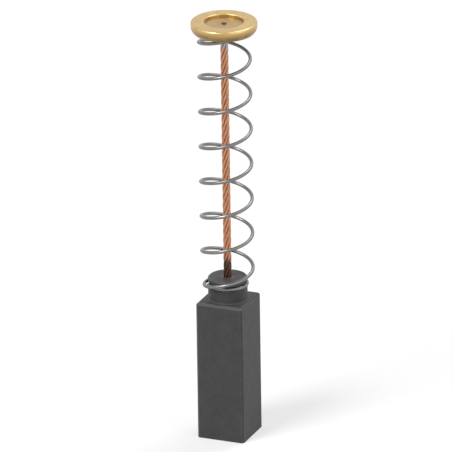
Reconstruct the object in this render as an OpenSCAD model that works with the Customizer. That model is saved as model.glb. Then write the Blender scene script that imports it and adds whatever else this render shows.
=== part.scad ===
// Carbon brush for a small motor: a square carbon with a round neck, a compression spring
// snapped on the neck, a copper shunt down the spring, and a pressed brass contact cap.
// Units are millimetres. The origin is the centre of the contact face, and +Z points to the cap.

/* [Carbon] */
// Width of the carbon, along X
block_w = 6.3; // [6:0.1:9]
// Depth of the carbon, along Y
block_d = 6.3; // [6:0.1:9]
// Length of the square carbon, from its contact face to its shoulder
block_h = 18.3; // [12:0.1:28]
// Chamfer on the four long edges and round the shoulder
block_chamfer = 0.25; // [0.1:0.05:0.35]

/* [Neck] */
// Diameter of the neck that the spring snaps on
neck_d = 5; // [4.2:0.1:5.2]
// Height of the neck above the shoulder
neck_h = 2.9; // [2:0.1:4]
// Height of the lip between the groove and the end of the neck
lip_h = 0.65; // [0.4:0.05:1]
// Depth of the groove that holds the last turn of the spring
groove_depth = 0.3; // [0.15:0.05:0.4]
// Chamfer on the edges of the lip
lip_chamfer = 0.12; // [0.05:0.01:0.15]
// Fillet where the neck meets the shoulder
neck_fillet = 0.2; // [0.1:0.05:0.25]

/* [Spring] */
// Diameter of the spring wire
wire_d = 0.45; // [0.3:0.05:0.55]
// Outside diameter of the spring
spring_od = 6.9; // [6.6:0.1:9]
// Free length of the spring over both end turns
spring_length = 35.1; // [25:0.1:45]
// Turns between the two flat end turns
rise_turns = 7.6; // [5:0.1:9]
// Turns over which the pitch grows at one end and fades at the other
ease_turns = 0.2; // [0.15:0.05:0.8]
// Turns over which the wire opens from the groove to the full diameter
open_turns = 0.3; // [0.25:0.05:0.5]
// Angle at which the wire starts to leave the groove
leave_angle = 140; // [0:1:359]

/* [Shunt] */
// Diameter over the strands of the copper shunt
shunt_d = 1; // [0.7:0.05:1.3]
// Strands laid round the shunt
strands = 6; // [5:1:9]
// Length in which a strand goes once round
lay_length = 7; // [5:0.5:12]
// Depth of the grooves between strands
strand_groove = 0.12; // [0.04:0.01:0.16]
// Diameter of the fused tip that goes through the cap
tip_d = 0.65; // [0.5:0.05:0.9]
// How far the tip stands above the floor of the recess
tip_proud = 0.12; // [0.08:0.01:0.18]
// Chamfer round the end of the tip
tip_chamfer = 0.06; // [0.02:0.01:0.08]

/* [Tamping] */
// Wall of tamped copper powder round the shunt
tamping_wall = 0.35; // [0.2:0.05:0.6]
// Depth to which the shunt is tamped into the neck and the carbon
tamping_depth = 5.5; // [4:0.5:8]

/* [Cap] */
// Thickness of the brass sheet
sheet = 0.35; // [0.25:0.05:0.45]
// Height of the cap, from the edge of its skirt to its face
cap_h = 1.4; // [1.3:0.05:2.2]
// Height of the straight band under the face
cap_band = 0.5; // [0.35:0.05:0.7]
// How far the outside of the skirt draws in below the band
cap_taper = 0.36; // [0.2:0.02:0.5]
// Depth of the round recess in the face
recess_depth = 0.35; // [0.2:0.05:0.5]
// Radius on the edge of the face
rim_round = 0.25; // [0.1:0.05:0.35]
// Radius in the corner under the face
inner_round = 0.1; // [0.05:0.01:0.15]
// Radius on the edges of the recess and its boss
recess_round = 0.12; // [0.05:0.01:0.18]

/* [Solder] */
// Height of the solder fillet under the boss of the cap
solder_h = 0.7; // [0.4:0.05:1.2]
// Width of the solder fillet against the boss
solder_w = 0.5; // [0.3:0.05:0.8]
// Width that the solder keeps at its lower edge
solder_edge = 0.08; // [0.05:0.01:0.15]

/* [Fits] */
// Gap between the spring and its two seats
seat_gap = 0.03; // [0.02:0.01:0.06]
// Gap round what is tamped, soldered or led through a hole
bond_gap = 0.02; // [0.01:0.01:0.04]
// Radial play between the spring and the edge of the cap's skirt
skirt_play = 0.15; // [0.05:0.01:0.3]
// Radial play between the boss of the cap and the inside of the spring
boss_play = 0.15; // [0.1:0.01:0.3]

/* [Hidden] */
$fn = 64;
nothing = 0.01; // overshoot that keeps a cut clear of the face it cuts through

// Neck and groove
neck_r = neck_d / 2;
root_r = min(neck_fillet, min(block_w, block_d) / 2 - block_chamfer - neck_r);
neck_top = block_h + neck_h;
groove_h = wire_d + 2 * seat_gap;
groove_floor = neck_top - lip_h - groove_h;
groove_r = neck_r - groove_depth;

// Spring, with heights of the wire's centre
wire_r = wire_d / 2;
coil_r = spring_od / 2 - wire_r;
grip_r = groove_r + seat_gap + wire_r;
spring_z = groove_floor + seat_gap + wire_r;
spring_rise = spring_length - wire_d;
ease = ease_turns / rise_turns;
pitch = spring_rise / (rise_turns * (1 - ease));
wire_steps = 30; // rings of the wire's skin in a turn
wire_sides = 10;

// Cap, with heights from the edge of the skirt
seat_z = spring_z + spring_rise + wire_r + seat_gap;
cap_z = seat_z + sheet - cap_h;
boss_r = spring_od / 2 - wire_d - boss_play;
recess_r = boss_r - sheet;
skirt_h = cap_h - cap_band;
skirt_bend = (skirt_h ^ 2 + cap_taper ^ 2) / (2 * cap_taper); // radius of its outside
skirt_slope = 1 - cap_taper / skirt_bend;                      // cosine of its angle at the edge
rim_r = spring_od / 2 + skirt_play + skirt_bend - (skirt_bend - sheet) * skirt_slope;
plate_y = cap_h - sheet;
boss_y = plate_y - recess_depth;
tip_r = tip_d / 2;
tip_hole_r = tip_r + bond_gap;

// Shunt and tamping
shunt_r = shunt_d / 2;
shunt_bore_r = shunt_r + bond_gap;
tamping_r = shunt_bore_r + tamping_wall;
hole_r = tamping_r + bond_gap;
shunt_foot = neck_top - tamping_depth;
solder_top = cap_z + boss_y - bond_gap;
solder_foot = solder_top - solder_h;
fused_z = solder_top - sheet / 2; // where the shunt is down to its tip
shunt_head = cap_z + cap_h - recess_depth + tip_proud;
drill_point = 118; // angle of the drill that made the hole
lay_steps = 12;    // rings of the shunt's skin in a lay
fuse_steps = 5;    // rings over which it narrows to its tip
strand_points = 6; // points of its outline on a strand

// Closes a solid over a list of rings, each with the same number of points and
// turning the same way as a right-handed screw goes from the first to the last
module skin(rings) {
    n = len(rings[0]);
    last = (len(rings) - 1) * n;
    sides = [
        for (i = [0 : len(rings) - 2], j = [0 : n - 1])
        let (a = i * n + j, b = i * n + (j + 1) % n)
        each [[a, a + n, b + n], [a, b + n, b]]
    ];
    ends = [[for (j = [0 : n - 1]) j], [for (j = [n - 1 : -1 : 0]) last + j]];
    polyhedron([for (ring = rings) each ring], concat(sides, ends));
}

// A quarter-round cutter for the outside corner at the origin, which has its material at -X and -Y
module corner_cut(r) {
    difference() {
        translate([-r, -r]) square(r + nothing);
        translate([-r, -r]) circle(r);
    }
}

// ---- Carbon ----

module chamfered_square(w, d, c) {
    x = w / 2;
    y = d / 2;
    polygon([
        [-x + c, -y], [x - c, -y], [x, -y + c], [x, y - c],
        [x - c, y], [-x + c, y], [-x, y - c], [-x, -y + c]
    ]);
}

// Side view of the carbon, w wide, with the shoulder's chamfers
module shoulder_view(w) {
    x = w / 2;
    c = block_chamfer;
    polygon([[-x, 0], [x, 0], [x, block_h - c], [x - c, block_h], [-x + c, block_h], [-x, block_h - c]]);
}

module square_carbon() {
    intersection() {
        linear_extrude(block_h) chamfered_square(block_w, block_d, block_chamfer);
        rotate([90, 0, 0]) translate([0, 0, -block_d / 2]) linear_extrude(block_d) shoulder_view(block_w);
        rotate([90, 0, 90]) translate([0, 0, -block_w / 2]) linear_extrude(block_w) shoulder_view(block_d);
    }
}

// Half section of the neck, from just inside the carbon to its end
module neck_section() {
    difference() {
        union() {
            translate([0, -block_chamfer]) square([neck_r, neck_h + block_chamfer]);
            square([neck_r + root_r, root_r]);
        }
        translate([neck_r + root_r, root_r]) circle(root_r);
        translate([groove_r, groove_floor - block_h]) square([groove_depth + nothing, groove_h]);
        translate([neck_r, neck_h]) rotate(45) square(lip_chamfer * sqrt(2), center = true);
        translate([neck_r, neck_h - lip_h]) rotate(45) square(lip_chamfer * sqrt(2), center = true);
    }
}

// What the drill takes out for the shunt, with a margin over the plug that fills it
module drilled_hole(r, top) {
    point_h = r / tan(drill_point / 2);
    rotate_extrude() polygon([
        [0, shunt_foot - point_h], [r, shunt_foot], [r, top], [0, top]
    ]);
}

module carbon_block() {
    color("dimgray") difference() {
        union() {
            square_carbon();
            translate([0, 0, block_h]) rotate_extrude() neck_section();
        }
        drilled_hole(hole_r, neck_top + nothing);
    }
}

module tamping_plug() {
    color("sienna") difference() {
        drilled_hole(tamping_r, neck_top - bond_gap);
        translate([0, 0, shunt_foot - bond_gap]) cylinder(r = shunt_bore_r, h = tamping_depth + bond_gap);
    }
}

// ---- Spring ----

function smooth(u) = let (v = min(max(u, 0), 1)) v * v * (3 - 2 * v);
function unsmooth(f) = 0.5 - sin(asin(1 - 2 * f) / 3);

// Share of the rise at share u of its turns: the pitch grows over the first share e and fades over the last
function eased(u, e) =
    u <= 0 ? 0 :
    u < e ? u ^ 2 / (2 * e * (1 - e)) :
    u < 1 - e ? (u - e / 2) / (1 - e) :
    u < 1 ? 1 - (1 - u) ^ 2 / (2 * e * (1 - e)) : 1;

// Turns over which the wire comes down from a flat end turn by h
function turns_down(h) =
    h < pitch * ease_turns / 2 ? sqrt(2 * ease_turns * h / pitch) : ease_turns / 2 + h / pitch;

// The wire's path, with t in turns from where it starts to leave the groove. It rises once it is
// clear of the lip, and a flat end turn stops where the next turn is a wire's diameter away.
rise_start = open_turns * unsmooth(groove_depth / (coil_r - grip_r));
flat_turns = 1 - turns_down(wire_d + seat_gap);
function path_radius(t) = grip_r + (coil_r - grip_r) * smooth(t / open_turns);
function path_height(t) = spring_z + spring_rise * eased((t - rise_start) / rise_turns, ease);
function path_point(t) =
    let (r = path_radius(t), angle = leave_angle + 360 * t)
    [r * cos(angle), r * sin(angle), path_height(t)];

// The wire's round section at t, square to its path
function wire_ring(t) =
    let (
        step = 0.001,
        centre = path_point(t),
        ahead = path_point(t + step) - path_point(t - step),
        along = ahead / norm(ahead),
        angle = leave_angle + 360 * t,
        out = [cos(angle), sin(angle), 0],
        across = out - along * (out * along),
        x = across / norm(across),
        y = cross(along, x)
    )
    [for (j = [0 : wire_sides - 1]) let (a = 360 * j / wire_sides) centre + wire_r * (cos(a) * x + sin(a) * y)];

module spring() {
    start = -flat_turns;
    end = rise_start + rise_turns + flat_turns;
    steps = ceil((end - start) * wire_steps);
    color("silver") skin([for (i = [0 : steps]) wire_ring(start + (end - start) * i / steps)]);
}

// ---- Shunt ----

// Heights between which the shunt narrows inside the solder, and its radius over the strands
fuse_heights = [for (i = [0 : fuse_steps]) solder_foot + (fused_z - solder_foot) * i / fuse_steps];
function fused_share(z) = smooth((z - solder_foot) / (fused_z - solder_foot));
function shunt_crest(z) = shunt_r + (tip_r - shunt_r) * fused_share(z);

// Outline of the shunt at height z: laid strands, which are drawn together and fused at the solder
function shunt_ring(z) =
    let (
        fused = fused_share(z),
        crest = shunt_crest(z) - max(0, z - shunt_head + tip_chamfer),
        n = strands * strand_points
    )
    [
        for (j = [0 : n - 1])
        let (
            a = 360 * j / n,
            r = crest - strand_groove * (1 - fused) * (1 - abs(cos(a * strands / 2))),
            turned = a + 360 * z / lay_length
        )
        [r * cos(turned), r * sin(turned), z]
    ];

module shunt_lead() {
    laid_h = solder_foot - shunt_foot;
    laid_steps = ceil(laid_h / lay_length * lay_steps);
    heights = [
        for (i = [0 : laid_steps - 1]) shunt_foot + laid_h * i / laid_steps,
        each fuse_heights,
        shunt_head - tip_chamfer,
        shunt_head
    ];
    color("peru") skin([for (z = heights) shunt_ring(z)]);
}

// ---- Cap ----

// The skirt below its band: sheet bent on an arc that starts upright, and cut square at its edge
module skirt_section() {
    translate([rim_r - skirt_bend, skirt_h]) intersection() {
        difference() {
            circle(skirt_bend);
            circle(skirt_bend - sheet);
        }
        polygon([
            [0, 0], 2 * [skirt_bend, 0], 2 * [skirt_bend, -skirt_h], 2 * [skirt_bend - cap_taper, -skirt_h]
        ]);
    }
}

module cap_section() {
    inner = rim_r - sheet;
    difference() {
        union() {
            translate([0, plate_y]) square([rim_r, sheet]);
            translate([inner, skirt_h]) square([sheet, cap_band]);
            skirt_section();
            translate([inner - inner_round, plate_y - inner_round]) difference() {
                square(inner_round + nothing);
                circle(inner_round);
            }
            difference() {
                translate([0, boss_y]) square([boss_r, sheet + recess_depth]);
                translate([boss_r, boss_y]) mirror([0, 1]) corner_cut(recess_round);
            }
        }
        translate([rim_r, cap_h]) corner_cut(rim_round);
        translate([0, cap_h - recess_depth]) square([recess_r, recess_depth + nothing]);
        translate([recess_r, cap_h]) mirror([1, 0]) corner_cut(recess_round);
        translate([0, boss_y - nothing]) square([tip_hole_r, sheet + 2 * nothing]);
    }
}

module contact_cap() {
    color("goldenrod") translate([0, 0, cap_z]) rotate_extrude() cap_section();
}

// A concave fillet of solder between the shunt and the underside of the boss
module solder_joint() {
    edge_r = shunt_bore_r + solder_edge;
    outer_r = shunt_bore_r + solder_w;
    color("lightgray") rotate_extrude() difference() {
        polygon([
            for (z = fuse_heights) [shunt_crest(z) + bond_gap, z],
            [tip_hole_r, solder_top], [outer_r, solder_top], [outer_r, solder_foot]
        ]);
        translate([outer_r, solder_foot]) scale([(outer_r - edge_r) / solder_h, 1]) circle(solder_h);
    }
}

carbon_block();
tamping_plug();
shunt_lead();
spring();
contact_cap();
solder_joint();
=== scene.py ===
"""The looks of a carbon brush: a wound spring wire and a stranded copper shunt in place of their
plain solids, a finish for every piece, and a pale floor with soft light and a long-lens camera."""
import math

import bpy
import numpy as np
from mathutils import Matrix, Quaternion, Vector


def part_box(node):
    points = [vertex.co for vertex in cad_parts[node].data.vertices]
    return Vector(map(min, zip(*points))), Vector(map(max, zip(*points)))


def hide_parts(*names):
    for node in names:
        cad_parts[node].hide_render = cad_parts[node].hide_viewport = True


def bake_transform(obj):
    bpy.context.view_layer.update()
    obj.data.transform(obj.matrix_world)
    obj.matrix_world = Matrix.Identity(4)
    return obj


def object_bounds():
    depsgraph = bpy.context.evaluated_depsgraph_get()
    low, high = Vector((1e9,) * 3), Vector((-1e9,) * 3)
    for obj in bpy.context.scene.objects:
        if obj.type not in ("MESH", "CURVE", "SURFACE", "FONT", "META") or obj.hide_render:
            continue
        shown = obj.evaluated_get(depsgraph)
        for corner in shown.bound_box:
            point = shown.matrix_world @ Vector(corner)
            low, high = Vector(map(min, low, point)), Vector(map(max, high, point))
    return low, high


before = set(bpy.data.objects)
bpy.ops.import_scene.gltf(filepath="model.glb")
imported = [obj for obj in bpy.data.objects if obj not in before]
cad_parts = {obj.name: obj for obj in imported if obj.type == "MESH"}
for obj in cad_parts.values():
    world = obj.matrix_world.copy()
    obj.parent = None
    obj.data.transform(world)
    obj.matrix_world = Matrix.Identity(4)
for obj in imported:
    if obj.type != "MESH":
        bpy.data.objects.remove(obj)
cad_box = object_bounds()

MM = 0.001
TURN = 2 * math.pi

# ---- Sizes, read from the frame where it gives them ----

SPRING_LOW, SPRING_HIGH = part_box("spring")
SHUNT_LOW, SHUNT_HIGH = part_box("shunt_lead")
SOLDER_LOW, SOLDER_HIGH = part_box("solder_joint")
CAP_LOW, CAP_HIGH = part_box("contact_cap")
NECK_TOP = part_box("carbon_block")[1].z

WIRE_R = 0.225 * MM
SPRING_R = 3.45 * MM - WIRE_R      # to the middle of the wire, in the open turns
GRIP_R = 2.455 * MM                # and in the turn that grips the neck
RISE_START = SPRING_LOW.z + WIRE_R
RISE_END = SPRING_HIGH.z - WIRE_R
RISE_TURNS = 7.6                   # between the two flat end turns
EASE_TURNS = 0.2                   # over which the pitch grows, and fades at the other end
OPEN_TURNS = 0.3                   # over which the wire opens from the neck to the full diameter
LEAVE_ANGLE = math.radians(140)    # where the wire starts to leave the neck
CLEAR_LIP = 0.3 * MM               # how far it has to open before it rises past the lip
END_GAP = 0.03 * MM                # between an end of the wire and the next turn

SHUNT_R = 0.5 * MM
TIP_R = 0.325 * MM
STRANDS = 6
STRAND_R = SHUNT_R / 3             # so that a seventh strand fits in the middle
LAY = 7 * MM                       # length in which a strand goes once round the shunt
WIRE_LAY = -2.6 * MM               # and a wire once round its strand, the other way

SHEET = 0.35 * MM                  # thickness of the cap's sheet
RECESS_R = 2.5 * MM                # of the round recess in its face
RECESS_DEPTH = 0.35 * MM


# ---- Meshes ----

def smooth(u):
    """0 up to u = 0, 1 from u = 1, and a soft step between them. It takes a number or an array."""
    u = np.clip(u, 0, 1)
    return u * u * (3 - 2 * u)


def unsmooth(share):
    """Where smooth() reaches that share."""
    return 0.5 - math.sin(math.asin(1 - 2 * share) / 3)


def circle(sides, radius=1.0):
    """That many points round a circle, as sides x 2."""
    around = np.arange(sides) * TURN / sides
    return radius * np.column_stack([np.cos(around), np.sin(around)])


def level(outline, z):
    """A level ring at height z, from an outline of sides x 2."""
    return np.column_stack([outline, np.full(len(outline), z)])


def skin(name, tubes, attributes=()):
    """One mesh over several tubes, each an array of rings x points x 3 with its ends closed. It keeps
    the place of each point along and round its tube, and its place at rest, for the finishes.
    attributes gives, for each name, one array of rings x points for each tube."""
    points, quads, ends, uvs = [], [], [], []
    start = 0
    for rings in tubes:
        count, sides = rings.shape[:2]
        index = start + np.arange(count * sides).reshape(count, sides)
        near, far = index[:-1], index[1:]
        faces = np.stack([near, np.roll(near, -1, 1), np.roll(far, -1, 1), far], -1)
        quads.extend(faces.reshape(-1, 4).tolist())
        ends.extend([index[0][::-1].tolist(), index[-1].tolist()])
        steps = np.linalg.norm(np.diff(rings.mean(1), axis=0), axis=1)
        along = np.concatenate([[0], np.cumsum(steps)]) / MM
        uvs.append(np.stack(np.meshgrid(along, np.arange(sides) / sides, indexing="ij"), -1).reshape(-1, 2))
        points.append(rings.reshape(-1, 3))
        start += count * sides
    mesh = bpy.data.meshes.new(name)
    mesh.from_pydata(np.concatenate(points).tolist(), [], quads + ends)
    mesh.shade_smooth()
    for face in mesh.polygons[len(quads):]:
        face.use_smooth = False
    flat = np.concatenate(uvs)
    vectors = {"along": np.column_stack([flat, np.zeros(len(flat))]), "rest": np.concatenate(points)}
    for key, array in vectors.items():
        layer = mesh.attributes.new(key, "FLOAT_VECTOR", "POINT")
        layer.data.foreach_set("vector", array.astype(np.float32).ravel())
    for key, arrays in dict(attributes).items():
        layer = mesh.attributes.new(key, "FLOAT", "POINT")
        layer.data.foreach_set("value", np.concatenate([a.ravel() for a in arrays]).astype(np.float32))
    mesh.validate()
    piece = bpy.data.objects.new(name, mesh)
    bpy.context.scene.collection.objects.link(piece)
    return piece


def sweep(path, outlines):
    """Rings of an outline carried square to a path. path is n x 3, and outlines is n x sides x 2, in
    metres, with its first axis kept pointing away from Z."""
    along = np.gradient(path, axis=0)
    along /= np.linalg.norm(along, axis=1, keepdims=True)
    out = path * [1, 1, 0]
    out -= along * np.sum(out * along, axis=1, keepdims=True)
    out /= np.linalg.norm(out, axis=1, keepdims=True)
    side = np.cross(along, out)
    return path[:, None] + outlines[..., :1] * out[:, None] + outlines[..., 1:] * side[:, None]


def follow(piece):
    """Bakes the piece's placing into its mesh."""
    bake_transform(piece)


# ---- Spring ----

def spring_share(turns):
    """Share of the spring's rise at a number of turns after it starts. The pitch grows over the first
    EASE_TURNS and fades over the last."""
    e = EASE_TURNS / RISE_TURNS
    u = np.clip(turns / RISE_TURNS, 0, 1)
    growing = u ** 2 / (2 * e * (1 - e))
    fading = 1 - (1 - u) ** 2 / (2 * e * (1 - e))
    return np.where(u < e, growing, np.where(u > 1 - e, fading, (u - e / 2) / (1 - e)))


def turns_down(drop):
    """Turns over which the wire leaves a flat end turn by that much."""
    pitch = (RISE_END - RISE_START) / (RISE_TURNS - EASE_TURNS)
    if drop < pitch * EASE_TURNS / 2:
        return math.sqrt(2 * EASE_TURNS * drop / pitch)
    return EASE_TURNS / 2 + drop / pitch


def make_spring():
    """The wire, with its turns counted from where it starts to leave the neck. Each flat end turn stops
    where the next turn is a wire's diameter away, and the ends of the wire are bevelled."""
    sides = 20
    steps_per_turn = 84
    bevel = 0.04 * MM
    bevel_turns = bevel / (TURN * SPRING_R)
    rise_turn = OPEN_TURNS * unsmooth(CLEAR_LIP / (SPRING_R - GRIP_R))
    flat_turns = 1 - turns_down(2 * WIRE_R + END_GAP)
    first, last = -flat_turns, rise_turn + RISE_TURNS + flat_turns
    turns = np.linspace(first, last, int((last - first) * steps_per_turn))
    turns = np.insert(turns, [1, len(turns) - 1], [first + bevel_turns, last - bevel_turns])
    angle = LEAVE_ANGLE + TURN * turns
    r = GRIP_R + (SPRING_R - GRIP_R) * smooth(turns / OPEN_TURNS)
    z = RISE_START + (RISE_END - RISE_START) * spring_share(turns - rise_turn)
    path = np.column_stack([r * np.cos(angle), r * np.sin(angle), z])
    radius = np.full(len(turns), WIRE_R)
    radius[[0, -1]] -= bevel
    piece = skin("spring_wire", [sweep(path, radius[:, None, None] * circle(sides))])
    follow(piece)
    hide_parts("spring")
    return piece


# ---- Shunt ----

def make_shunt():
    """Six strands laid round a seventh. Each is a bundle of fine wires, which show as ribs on it, and
    all run together into a fused tip at the solder."""
    wires, points_per_wire = 13, 3
    core_sides = 12
    ring_gap = 0.2 * MM
    rib = 0.028 * MM                   # depth of the grooves between a strand's wires
    swell = 1.06                       # strands press into each other a little
    thinned = 0.35                     # share of its radius that a strand loses where it is fused
    gathered = 0.9 * TIP_R             # reach of the fused strands, inside the tip
    tip_overlap = 0.25 * MM            # of the tip over the strands
    painted_shade_reach, painted_shade_fade = 0.45, 0.5  # shares of SHUNT_R: end of the painted shade in the middle, and its soft border
    groove_painted_light = 0.35                # share of light left in the painted shade in the grooves between a strand's wires
    low, high = SHUNT_LOW.z, SOLDER_HIGH.z - SHEET / 2
    z = np.linspace(low, high, int((high - low) / ring_gap))
    fused = smooth((z - SOLDER_LOW.z) / (high - SOLDER_LOW.z))
    strand_r = STRAND_R * (1 - thinned * fused)
    centre_r = (SHUNT_R - STRAND_R) * (1 - fused) + (gathered - strand_r) * fused
    sides = wires * points_per_wire
    around = np.arange(sides) * TURN / sides
    crest = np.abs(np.cos(around * wires / 2))
    wire_painted_light = groove_painted_light + (1 - groove_painted_light) * crest
    tubes, painted_light_shares = [], []
    for k in range(STRANDS):
        turn = TURN * (k / STRANDS + z / LAY)
        path = np.column_stack([centre_r * np.cos(turn), centre_r * np.sin(turn), z])
        spin = TURN * z / WIRE_LAY + k
        radius = strand_r[:, None] * swell - rib * (1 - crest)[None, :] * (1 - fused[:, None])
        angle = around[None, :] + spin[:, None]
        rings = sweep(path, np.stack([radius * np.cos(angle), radius * np.sin(angle)], -1))
        tubes.append(rings)
        # painted shade: darker towards the middle of the shunt and in the grooves between a strand's wires
        reach = np.hypot(rings[..., 0], rings[..., 1])
        painted_light_shares.append(np.clip((reach / SHUNT_R - painted_shade_reach) / painted_shade_fade, 0, 1) * wire_painted_light)
    core = circle(core_sides, STRAND_R)
    tubes.append(np.stack([level(core, low), level(core, high)]))
    painted_light_shares.append(np.zeros((2, core_sides)))
    tip = tip_rings(high - tip_overlap, SHUNT_HIGH.z)
    tubes.append(tip)
    painted_light_shares.append(np.ones(tip.shape[:2]))
    piece = skin("shunt_rope", tubes, {"crest": painted_light_shares})
    follow(piece)
    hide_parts("shunt_lead")
    return piece


def tip_rings(low, high):
    """The fused tip: a rod with a low domed end."""
    sides, dome = 40, 0.1 * MM
    flatter = 0.45                     # 0 makes the dome an ellipse, and more makes its top flatter
    rings = [level(circle(sides, TIP_R), z) for z in (low, high - dome)]
    for angle in np.radians([20, 40, 60, 75, 86]):
        reach = math.cos(angle)
        share = (1 - flatter) * reach + flatter * math.sqrt(reach)
        rings.append(level(circle(sides, TIP_R * share), high - dome * (1 - math.sin(angle))))
    return np.stack(rings)


# ---- Materials ----

class Finish:
    """A material's nodes. Each call adds a node and returns its output, and an input is a number, a
    colour or another node's output. Lengths are in metres."""

    def __init__(self, name):
        self.material = bpy.data.materials.new(name)
        self.material.use_nodes = True
        self.tree = self.material.node_tree
        self.tree.nodes.clear()

    def add(self, kind, inputs=None, output=0, **settings):
        node = self.tree.nodes.new(kind)
        for key, value in settings.items():
            setattr(node, key, value)
        for key, value in (inputs or {}).items():
            socket = node.inputs[key]
            if isinstance(value, bpy.types.NodeSocket):
                self.tree.links.new(value, socket)
            else:
                socket.default_value = value
        return node.outputs[output]

    def place(self):
        """Position on the brush."""
        return self.add("ShaderNodeTexCoord", output="Object")

    def attribute(self, name, output="Fac"):
        return self.add("ShaderNodeAttribute", output=output, attribute_name=name)

    def axes(self, vector):
        """The outputs X, Y and Z of a vector."""
        return self.add("ShaderNodeSeparateXYZ", {"Vector": vector}).node.outputs

    def channels(self, color):
        """The outputs of a colour's three channels."""
        return self.add("ShaderNodeSeparateColor", {"Color": color}).node.outputs

    def stretched(self, vector, scale):
        return self.add("ShaderNodeMapping", {"Vector": vector, "Scale": scale})

    def noise(self, vector, feature, detail=3.0):
        """Soft noise whose features are about that long."""
        inputs = {"Vector": vector, "Scale": 1 / feature, "Detail": detail, "Roughness": 0.55}
        return self.add("ShaderNodeTexNoise", inputs)

    def cells(self, vector, feature):
        """The outputs of a pattern of cells that are about that wide."""
        return self.add("ShaderNodeTexVoronoi", {"Vector": vector, "Scale": 1 / feature}).node.outputs

    def math(self, operation, a, b=0.0, c=0.0):
        return self.add("ShaderNodeMath", {0: a, 1: b, 2: c}, operation=operation)

    def times(self, a, b):
        return self.math("MULTIPLY", a, b)

    def remap(self, value, low, high, to_low=0.0, to_high=1.0):
        names = ("Value", "From Min", "From Max", "To Min", "To Max")
        return self.add("ShaderNodeMapRange", dict(zip(names, (value, low, high, to_low, to_high))))

    def mix(self, share, a, b):
        """Colour a where share is 0, and b where it is 1."""
        a, b = (v if isinstance(v, bpy.types.NodeSocket) else (*v, 1.0) for v in (a, b))
        return self.add("ShaderNodeMix", {0: share, 6: a, 7: b}, output=2, data_type="RGBA")

    def bump(self, height, depth, normal=None):
        inputs = {"Height": height, "Distance": depth, "Strength": 1.0}
        if normal is not None:
            inputs["Normal"] = normal
        return self.add("ShaderNodeBump", inputs)

    def edges(self, width, full=0.85):
        """1 along edges, falling to 0 at about that distance from them. full is the cosine between the
        rounded and the true normal that counts as an edge, and flat the one that counts as none."""
        flat = 0.995
        soft = self.add("ShaderNodeBevel", {"Radius": width}, samples=6)
        true = self.add("ShaderNodeNewGeometry", output="Normal")
        both = {0: soft, 1: true}
        turned = self.add("ShaderNodeVectorMath", both, output="Value", operation="DOT_PRODUCT")
        return self.remap(turned, flat, full)

    def surface(self, **inputs):
        shader = self.add("ShaderNodeBsdfPrincipled", {k.replace("_", " "): v for k, v in inputs.items()})
        output = self.tree.nodes.new("ShaderNodeOutputMaterial")
        self.tree.links.new(shader, output.inputs["Surface"])
        return self.material


def carbon():
    """Pressed carbon-graphite: a dark even grey with fine grain, a few small pores painted near black as
    the shade in their pits, flakes painted lighter as glints, faint marks along the die and edges that
    handling has polished, also painted lighter along them as a sheen."""
    f = Finish("carbon_graphite")
    place = f.place()
    grain = f.noise(place, 0.06 * MM, detail=5)
    mottle = f.noise(place, 1.6 * MM, detail=3)
    marks = f.noise(f.stretched(place, (1, 1, 0.04)), 0.12 * MM, detail=2)

    # flakes: a few cells of a fine pattern, with ragged borders, painted lighter as glints
    wobble = f.add("ShaderNodeTexNoise", {"Vector": place, "Scale": 1 / (0.03 * MM)}, output="Color")
    warped = {0: wobble, 1: (0.05 * MM,) * 3, 2: place}
    warped = f.add("ShaderNodeVectorMath", warped, output="Vector", operation="MULTIPLY_ADD")
    chance, glint, _ = f.channels(f.cells(warped, 0.045 * MM)["Color"])
    flake_painted_glint = f.times(f.remap(chance, 0.91, 0.95), f.math("POWER", glint, 2.0))

    # pores: a small spot in the middle of about half the cells of a coarse pattern, painted near black as
    # the shade in the pit
    cells = f.cells(place, 0.3 * MM)
    pore_size = f.remap(f.channels(cells["Color"])[0], 0.45, 1.0, 0.0, 0.16)
    pore_with_painted_shade = f.remap(f.math("SUBTRACT", pore_size, cells["Distance"]), 0.0, 0.05)
    # edges polished by handling, with a painted sheen: a lighter tone along them
    worn_with_painted_sheen = f.times(f.edges(0.16 * MM, full=0.93), f.remap(mottle, 0.35, 0.6, 0.35, 1.0))

    tone = f.mix(f.remap(mottle, 0.3, 0.7), (0.027, 0.027, 0.029), (0.046, 0.046, 0.049))
    tone = f.mix(f.times(f.remap(grain, 0.35, 0.7), 0.5), tone, (0.085, 0.085, 0.089))
    # painted glints: the flakes are painted lighter
    tone = f.mix(f.times(flake_painted_glint, 0.5), tone, (0.15, 0.15, 0.155))
    # painted sheen along the edges
    tone = f.mix(f.times(worn_with_painted_sheen, 0.6), tone, (0.15, 0.15, 0.154))
    # painted shade in the pores
    tone = f.mix(f.times(pore_with_painted_shade, 0.8), tone, (0.008, 0.008, 0.008))
    rough = f.remap(grain, 0.3, 0.7, 0.5, 0.66)
    rough = f.math("SUBTRACT", rough, f.times(flake_painted_glint, 0.2))
    rough = f.math("SUBTRACT", rough, f.times(worn_with_painted_sheen, 0.14))
    normal = f.bump(marks, 0.006 * MM)
    normal = f.bump(grain, 0.008 * MM, normal=normal)
    normal = f.bump(f.math("SUBTRACT", 1.0, pore_with_painted_shade), 0.015 * MM, normal=normal)
    return f.surface(Base_Color=tone, Roughness=rough, Normal=normal, Specular_IOR_Level=0.42)


def tamping():
    """Tamped copper powder: dull red-brown grains, lighter and smoother in places."""
    f = Finish("tamped_copper")
    place = f.place()
    grains = f.cells(place, 0.06 * MM)["Distance"]
    shade = f.noise(place, 0.12 * MM, detail=4)
    tone = f.mix(f.remap(shade, 0.35, 0.65), (0.10, 0.055, 0.038), (0.27, 0.145, 0.095))
    rough = f.remap(shade, 0.3, 0.7, 0.7, 0.45)
    return f.surface(Base_Color=tone, Metallic=0.65, Roughness=rough, Normal=f.bump(grains, 0.02 * MM))


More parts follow.
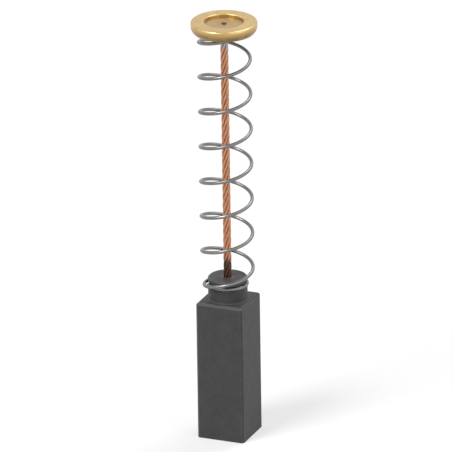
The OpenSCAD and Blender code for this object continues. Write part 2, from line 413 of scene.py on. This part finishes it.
def spring_steel():
    """Drawn spring wire: grey steel with fine drawing lines along it and a faint straw bloom."""
    f = Finish("spring_steel")
    along = f.attribute("along", "Vector")
    lines = f.noise(f.stretched(along, (0.25, 16, 1)), 1.0, detail=3)
    bloom = f.noise(f.attribute("rest", "Vector"), 5 * MM, detail=2)
    tone = f.mix(f.remap(bloom, 0.35, 0.65), (0.205, 0.205, 0.214), (0.25, 0.236, 0.212))
    tone = f.mix(f.remap(lines, 0.3, 0.75, 0.0, 0.5), tone, (0.125, 0.125, 0.132))
    rough = f.remap(lines, 0.3, 0.7, 0.22, 0.38)
    return f.surface(Base_Color=tone, Metallic=1.0, Roughness=rough, Normal=f.bump(lines, 0.004 * MM))


def copper():
    """Bare stranded copper with painted shade between its strands and in the grooves between their
    wires, dusted dark where it comes out of the carbon, tinned where solder has crept down it, and dark
    at its fused tip."""
    f = Finish("stranded_copper")
    place = f.attribute("rest", "Vector")
    height = f.axes(place)["Z"]
    shade = f.noise(place, 0.5 * MM, detail=4)
    uneven = f.math("MULTIPLY_ADD", shade, 1.6 * MM, height)
    dusted = f.remap(uneven, NECK_TOP + 4.2 * MM, NECK_TOP + 2.6 * MM)
    tinned = f.remap(uneven, SOLDER_LOW.z - 1.9 * MM, SOLDER_LOW.z - 0.9 * MM)
    darker_top = f.remap(height, SHUNT_HIGH.z - 0.25 * MM, SHUNT_HIGH.z - 0.12 * MM)
    tone = f.mix(f.remap(shade, 0.35, 0.65), (0.60, 0.27, 0.14), (0.78, 0.40, 0.24))
    # painted shade between the strands and in the grooves between their wires
    tone = f.mix(f.attribute("crest"), (0.16, 0.060, 0.030), tone)
    tone = f.mix(f.times(dusted, 0.86), tone, (0.050, 0.036, 0.032))
    tone = f.mix(f.times(tinned, 0.9), tone, (0.36, 0.355, 0.345))
    # darker at the top of the fused tip
    tone = f.mix(f.times(darker_top, 0.94), tone, (0.045, 0.036, 0.032))
    rough = f.math("MULTIPLY_ADD", dusted, 0.25, f.remap(shade, 0.3, 0.7, 0.24, 0.38))
    rough = f.math("MULTIPLY_ADD", darker_top, 0.2, rough)
    return f.surface(Base_Color=tone, Metallic=1.0, Roughness=rough)


def brass():
    """Pressed brass sheet: the grain of the rolled sheet across the flat faces, drawing lines down the
    skirt, rubbed edges, a recess painted darker as shade with a brown bloom in its middle, and painted
    shade that deepens down the skirt."""
    f = Finish("pressed_brass")
    place = f.place()
    x, y, z = f.axes(place)
    reach = f.math("SQRT", f.math("ADD", f.math("POWER", x, 2.0), f.math("POWER", y, 2.0)))
    normal = f.add("ShaderNodeNewGeometry", output="Normal")
    flat = f.remap(f.math("ABSOLUTE", f.axes(normal)["Z"]), 0.6, 0.95)
    unrolled = {"X": f.times(f.math("ARCTAN2", y, x), CAP_HIGH.x), "Y": z}
    wrapped = f.add("ShaderNodeCombineXYZ", unrolled)
    rolled = f.noise(f.stretched(place, (0.05, 1, 1)), 0.09 * MM, detail=3)
    drawn = f.noise(f.stretched(wrapped, (1, 0.06, 1)), 0.1 * MM, detail=3)
    lines = f.add("ShaderNodeMix", {0: flat, 2: drawn, 3: rolled})
    cloud = f.noise(place, 1.3 * MM, detail=4)

    # painted shade: the recess floor is painted darker, in clouds
    inside = f.remap(reach, RECESS_R + 0.1 * MM, RECESS_R - 0.05 * MM)
    below = f.remap(z, CAP_HIGH.z - 0.08 * MM, CAP_HIGH.z - RECESS_DEPTH + 0.05 * MM)
    recess_painted_shade = f.times(f.times(inside, f.remap(cloud, 0.25, 0.6, 0.3, 0.6)), below)
    middle = f.remap(reach, 1.3 * MM, 0.4 * MM, 0.0, 0.55)
    # painted shade: the skirt is painted darker towards its lower edge
    low = f.remap(z, CAP_HIGH.z - 0.2 * MM, CAP_LOW.z + 0.5 * MM, 0.0, 0.85)
    skirt = f.times(low, f.remap(flat, 0.0, 0.6, 1.0, 0.0))

    tone = f.mix(f.remap(cloud, 0.3, 0.7), (0.56, 0.375, 0.15), (0.66, 0.475, 0.21))
    # painted shade in the recess
    tone = f.mix(recess_painted_shade, tone, (0.33, 0.2, 0.08))
    tone = f.mix(f.times(middle, f.remap(cloud, 0.3, 0.6)), tone, (0.36, 0.21, 0.095))
    # painted shade down the skirt
    tone = f.mix(f.times(skirt, f.remap(cloud, 0.2, 0.6, 0.5, 1.0)), tone, (0.17, 0.092, 0.036))
    tone = f.mix(f.times(f.edges(0.1 * MM), 0.5), tone, (0.84, 0.68, 0.37))
    rough = f.math("ADD", f.remap(lines, 0.3, 0.7, 0.2, 0.3), f.remap(cloud, 0.35, 0.65, 0.0, 0.1))
    rough = f.math("MULTIPLY_ADD", middle, 0.2, rough)
    return f.surface(Base_Color=tone, Metallic=1.0, Roughness=rough, Normal=f.bump(lines, 0.004 * MM))


def solder():
    """Tin solder: bright and slightly rippled."""
    f = Finish("tin_solder")
    ripple = f.noise(f.place(), 0.25 * MM, detail=2)
    tone = f.mix(f.remap(ripple, 0.35, 0.65), (0.52, 0.52, 0.51), (0.68, 0.68, 0.67))
    rough = f.remap(ripple, 0.3, 0.7, 0.18, 0.34)
    return f.surface(Base_Color=tone, Metallic=1.0, Roughness=rough, Normal=f.bump(ripple, 0.02 * MM))


def dress(piece, material):
    piece.data.materials.clear()
    piece.data.materials.append(material)


# ---- Floor, light and camera ----

def seen_directly(tree):
    """1 for what the camera, a mirror or glass sees, and 0 for what only lights something."""
    path = tree.nodes.new("ShaderNodeLightPath").outputs
    value = path["Is Camera Ray"]
    for name in ("Is Glossy Ray", "Is Transmission Ray"):
        node = tree.nodes.new("ShaderNodeMath")
        node.operation = "MAXIMUM"
        tree.links.new(value, node.inputs[0])
        tree.links.new(path[name], node.inputs[1])
        value = node.outputs[0]
    return value


def make_floor():
    """A matt white floor. Part of its brightness is its own, so the brush's shadow stays soft."""
    reach = 3.0
    glow = 0.52
    mesh = bpy.data.meshes.new("floor")
    corners = [(x * reach, y * reach, 0) for x, y in ((-1, -1), (1, -1), (1, 1), (-1, 1))]
    mesh.from_pydata(corners, [], [(0, 1, 2, 3)])
    floor = bpy.data.objects.new("floor", mesh)
    bpy.context.scene.collection.objects.link(floor)
    f = Finish("white_floor")
    speck = f.noise(f.place(), 40 * MM)
    matt = f.add("ShaderNodeBsdfDiffuse", {"Color": f.mix(speck, (0.46, 0.46, 0.46), (0.47, 0.47, 0.47))})
    strength = f.times(seen_directly(f.tree), glow)
    own = f.add("ShaderNodeEmission", {"Color": (1, 1, 1, 1), "Strength": strength})
    both = f.add("ShaderNodeAddShader", {0: matt, 1: own})
    output = f.tree.nodes.new("ShaderNodeOutputMaterial")
    f.tree.links.new(both, output.inputs["Surface"])
    dress(floor, f.material)


def make_world():
    """White where it is seen, and dimmer as a light."""
    as_light, as_seen = 0.34, 1.0
    world = bpy.data.worlds.new("studio")
    world.use_nodes = True
    bpy.context.scene.world = world
    tree = world.node_tree
    strength = tree.nodes.new("ShaderNodeMapRange")
    tree.links.new(seen_directly(tree), strength.inputs["Value"])
    strength.inputs["To Min"].default_value = as_light
    strength.inputs["To Max"].default_value = as_seen
    background = tree.nodes["Background"]
    background.inputs["Color"].default_value = (1, 1, 1, 1)
    tree.links.new(strength.outputs[0], background.inputs["Strength"])


def direction(azimuth, elevation):
    """The unit vector towards a light or camera that stands there, in degrees. Azimuth 0 is in front of
    the brush, on the -Y side, and 90 is on the +X side."""
    a, e = math.radians(azimuth), math.radians(elevation)
    return Vector((math.sin(a) * math.cos(e), -math.cos(a) * math.cos(e), math.sin(e)))


def make_lamp(name, azimuth, elevation, share, spread):
    """A far soft lamp. share is how bright it makes a white card that faces it, and spread is the angle
    over which it stands, in degrees."""
    light = bpy.data.lights.new(name, "SUN")
    light.energy = math.pi * share
    light.angle = math.radians(spread)
    lamp = bpy.data.objects.new(name, light)
    lamp.rotation_mode = "QUATERNION"
    lamp.rotation_quaternion = direction(azimuth, elevation).to_track_quat("Z", "Y")
    bpy.context.scene.collection.objects.link(lamp)


def make_camera():
    """A far camera with a long lens, which shows the brush almost without perspective."""
    azimuth, elevation, lean = 22.6, 21.5, math.radians(0.85)
    lens, sensor = 1000.0, 36.0
    view_width = 56.9 * MM
    aim_share = 0.504                  # of the brush's height
    aside = 0.12 * MM                  # how far left of the axis it aims
    aim = Vector((0, 0, aim_share * cad_box[1].z)) - direction(azimuth + 90, 0) * aside
    data = bpy.data.cameras.new("camera")
    data.lens, data.sensor_width = lens, sensor
    data.clip_start = 0.01
    camera = bpy.data.objects.new("camera", data)
    back = direction(azimuth, elevation)
    camera.location = aim + back * (view_width * lens / sensor)
    camera.rotation_mode = "QUATERNION"
    camera.rotation_quaternion = back.to_track_quat("Z", "Y") @ Quaternion((0, 0, 1), -lean)
    bpy.context.scene.collection.objects.link(camera)
    bpy.context.scene.camera = camera


make_camera()
make_floor()
make_world()
make_lamp("key", -28, 48, share=0.62, spread=24)
make_lamp("fill", 75, 25, share=0.16, spread=60)
make_lamp("back", 160, 55, share=0.3, spread=30)

dress(make_spring(), spring_steel())
dress(make_shunt(), copper())
dress(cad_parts["carbon_block"], carbon())
dress(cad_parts["tamping_plug"], tamping())
dress(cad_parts["contact_cap"], brass())
dress(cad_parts["solder_joint"], solder())

bpy.context.scene.view_settings.view_transform = "Standard"
